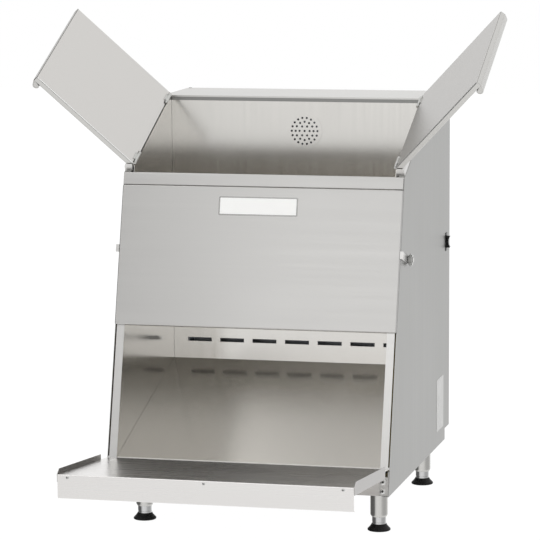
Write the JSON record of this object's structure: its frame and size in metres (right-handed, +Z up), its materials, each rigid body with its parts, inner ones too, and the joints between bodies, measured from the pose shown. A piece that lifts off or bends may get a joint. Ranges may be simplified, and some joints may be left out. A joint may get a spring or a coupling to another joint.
{
  "type": "chip warmer",
  "caption": "Heated stainless chip bin with butterfly lids over a sloping top mouth, a lift door on a slanted front, a landing tray below it, adjustable feet and a blower behind.",
  "frame": {"origin": "on the floor, below the middle of the whole warmer as stored, tray and open lids included", "axes": "+X to the right as seen from the front, +Y to the back, +Z up"},
  "size_m": [0.9814, 1.046, 1.1017],
  "materials": {
    "side_steel": "brushed stainless steel, grain upright",
    "front_steel": "brushed stainless steel, grain across",
    "lid_steel": "brushed stainless steel",
    "lid_liner_steel": "brushed stainless steel, bright",
    "bin_steel": "stainless steel, near mirror",
    "tray_steel": "polished stainless steel",
    "leg_steel": "satin stainless tube",
    "hinge_steel": "stamped stainless steel",
    "screw_steel": "plated steel",
    "sleeve_chrome": "plated steel",
    "duct_steel": "galvanised sheet",
    "knob_steel": "turned steel, ringed",
    "black_plastic": "moulded black plastic",
    "foot_rubber": "black rubber",
    "insulation": "glass-fibre blanket",
    "motor_paint": "black enamel",
    "heater_metal": "sheathed heater, dark oxide",
    "thermostat_metal": "plain"
  },
  "bodies": {
    "cabinet": {"left_side_panel": "side_steel", "left_bin_wall": "bin_steel", "left_stile": "front_steel", "left_hinge_rail": "front_steel", "left_tray_arm": "tray_steel", "front_left_leg": "leg_steel", "rear_left_leg": "leg_steel", "right_side_panel": "side_steel", "right_bin_wall": "bin_steel", "right_stile": "front_steel", "right_hinge_rail": "front_steel", "right_tray_arm": "tray_steel", "front_right_leg": "leg_steel", "rear_right_leg": "leg_steel", "base_pan": "side_steel", "back_cover": "side_steel", "top_cover": "lid_steel", "cord_inlet": "black_plastic", "switch_housing": "black_plastic", "terminal_block": "black_plastic", "cover_screws": "screw_steel", "tray_screws": "screw_steel", "hinge_pins": "screw_steel", "hinge_leaves": "hinge_steel", "bin_back": "bin_steel", "bin_floor": "bin_steel", "front_sill": "bin_steel", "front_upper_wall": "bin_steel", "vent_grille": "bin_steel", "front_rail": "front_steel", "landing_tray": "tray_steel", "tray_brackets": "tray_steel", "bin_insulation": "insulation", "blower_casing": "duct_steel", "air_duct": "duct_steel", "blower_motor": "motor_paint", "heating_element": "heater_metal", "thermostat": "thermostat_metal"},
    "left_lid": {"left_lid_shell": "lid_steel", "left_lid_liner": "lid_liner_steel", "left_lid_knuckles": "hinge_steel"},
    "right_lid": {"right_lid_shell": "lid_steel", "right_lid_liner": "lid_liner_steel", "right_lid_knuckles": "hinge_steel"},
    "door": {"front_door": "front_steel", "door_guides": "front_steel", "left_door_grip": "front_steel", "right_door_grip": "front_steel"},
    "left_knob": {"left_clamp_knob": "knob_steel"},
    "right_knob": {"right_clamp_knob": "knob_steel"},
    "switch_rocker": {"rocker": "black_plastic"},
    "blower_rotor": {"blower_wheel": "duct_steel"},
    "front_left_foot": {"front_left_foot_sleeve": "sleeve_chrome", "front_left_foot_pad": "foot_rubber"},
    "front_right_foot": {"front_right_foot_sleeve": "sleeve_chrome", "front_right_foot_pad": "foot_rubber"},
    "rear_left_foot": {"rear_left_foot_sleeve": "sleeve_chrome", "rear_left_foot_pad": "foot_rubber"},
    "rear_right_foot": {"rear_right_foot_sleeve": "sleeve_chrome", "rear_right_foot_pad": "foot_rubber"}
  },
  "joints": [
    {"name": "left_lid_hinge", "type": "hinge", "parent": "cabinet", "child": "left_lid", "pos_m": [-0.288, -0.0121, 0.77541], "axis": [0, 0.9164, 0.4003], "range_deg": [0, 132]},
    {"name": "right_lid_hinge", "type": "hinge", "parent": "cabinet", "child": "right_lid", "pos_m": [0.288, -0.0121, 0.77541], "axis": [0, -0.9164, -0.4003], "range_deg": [0, 132]},
    {"name": "door_slide", "type": "slide", "parent": "cabinet", "child": "door", "axis": [0, -0.2521, -0.9677], "range_m": [0, 0.28]},
    {"name": "left_knob_turn", "type": "hinge", "parent": "door", "child": "left_knob", "pos_m": [-0.3187, 0.01561, 0.57883], "axis": [-1, 0, 0], "range_deg": [0, 180]},
    {"name": "right_knob_turn", "type": "hinge", "parent": "door", "child": "right_knob", "pos_m": [0.3187, 0.01561, 0.57883], "axis": [1, 0, 0], "range_deg": [0, 180]},
    {"name": "rocker_tilt", "type": "hinge", "parent": "cabinet", "child": "switch_rocker", "pos_m": [0.31, 0.477, 0.561], "axis": [0, -1, 0], "range_deg": [-10, 10]},
    {"name": "blower_spin", "type": "hinge", "parent": "cabinet", "child": "blower_rotor", "pos_m": [0.02, 0.3218, 0.826], "axis": [0, 1, 0], "continuous": true},
    {"name": "front_left_foot_screw", "type": "slide", "parent": "cabinet", "child": "front_left_foot", "axis": [0, 0, -1], "range_m": [0, 0.02]},
    {"name": "front_right_foot_screw", "type": "slide", "parent": "cabinet", "child": "front_right_foot", "axis": [0, 0, -1], "range_m": [0, 0.02]},
    {"name": "rear_left_foot_screw", "type": "slide", "parent": "cabinet", "child": "rear_left_foot", "axis": [0, 0, -1], "range_m": [0, 0.02]},
    {"name": "rear_right_foot_screw", "type": "slide", "parent": "cabinet", "child": "rear_right_foot", "axis": [0, 0, -1], "range_m": [0, 0.02]}
  ]
}
